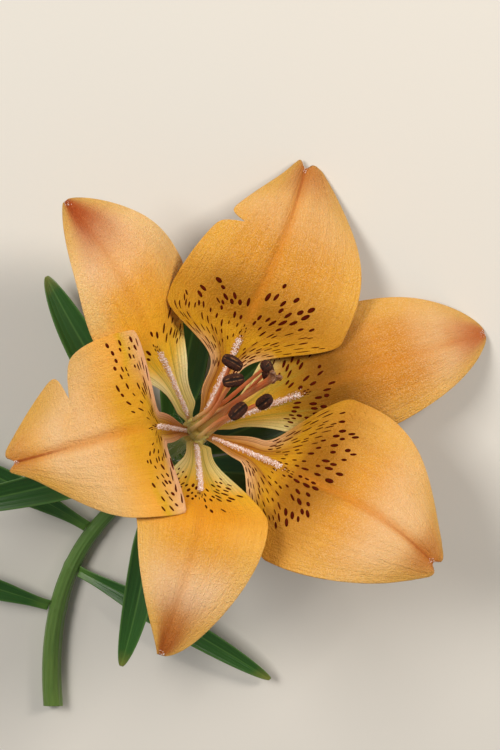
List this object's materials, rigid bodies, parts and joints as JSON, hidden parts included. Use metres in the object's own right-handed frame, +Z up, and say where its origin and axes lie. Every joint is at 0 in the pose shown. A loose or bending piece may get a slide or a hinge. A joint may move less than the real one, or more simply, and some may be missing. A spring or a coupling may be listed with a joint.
{
  "type": "candlestick lily flower",
  "caption": "Cut orange lily lying down: spotted clawed tepals spread round long stamens and a pistil, on a short bent leafy stem",
  "frame": {"origin": "centre of the bounding box in plan, on the surface that the cut flower lies on", "axes": "+Z up from that surface; +X along the lying flower from the cut end of its stem to its bloom, the longest side; +Y completes the right-handed frame"},
  "size_m": [0.1596, 0.1246, 0.0687],
  "materials": {
    "outer_tepal": "satin orange petal with a paler throat, fine veins and a red-flushed tip",
    "inner_tepal": "satin apricot petal with dark maroon spots, golden throat and salmon claw",
    "filament": "smooth orange-red stalk, yellow-green at its foot",
    "anther": "dull dark brown, finely grained",
    "pistil": "yellow-green ovary, orange style, dark stigma",
    "stem": "satin green, ribbed, with white wool near the bloom",
    "leaf": "satin dark green with parallel veins"
  },
  "bodies": {
    "root": {"tepal_outer_left": "outer_tepal", "tepal_outer_right": "outer_tepal", "tepal_outer_front": "outer_tepal", "tepal_inner_back": "inner_tepal", "tepal_inner_right": "inner_tepal", "tepal_inner_left": "inner_tepal", "filament_outer_left": "filament", "filament_outer_right": "filament", "filament_outer_front": "filament", "filament_inner_back": "filament", "filament_inner_right": "filament", "filament_inner_left": "filament", "anther_outer_left": "anther", "anther_outer_right": "anther", "anther_outer_front": "anther", "anther_inner_back": "anther", "anther_inner_right": "anther", "anther_inner_left": "anther", "pistil": "pistil", "stem": "stem", "leaf_1": "leaf", "leaf_2": "leaf", "leaf_3": "leaf", "leaf_4": "leaf", "leaf_5": "leaf", "leaf_6": "leaf", "leaf_7": "leaf", "leaf_8": "leaf", "leaf_9": "leaf", "leaf_10": "leaf"}
  },
  "joints": []
}
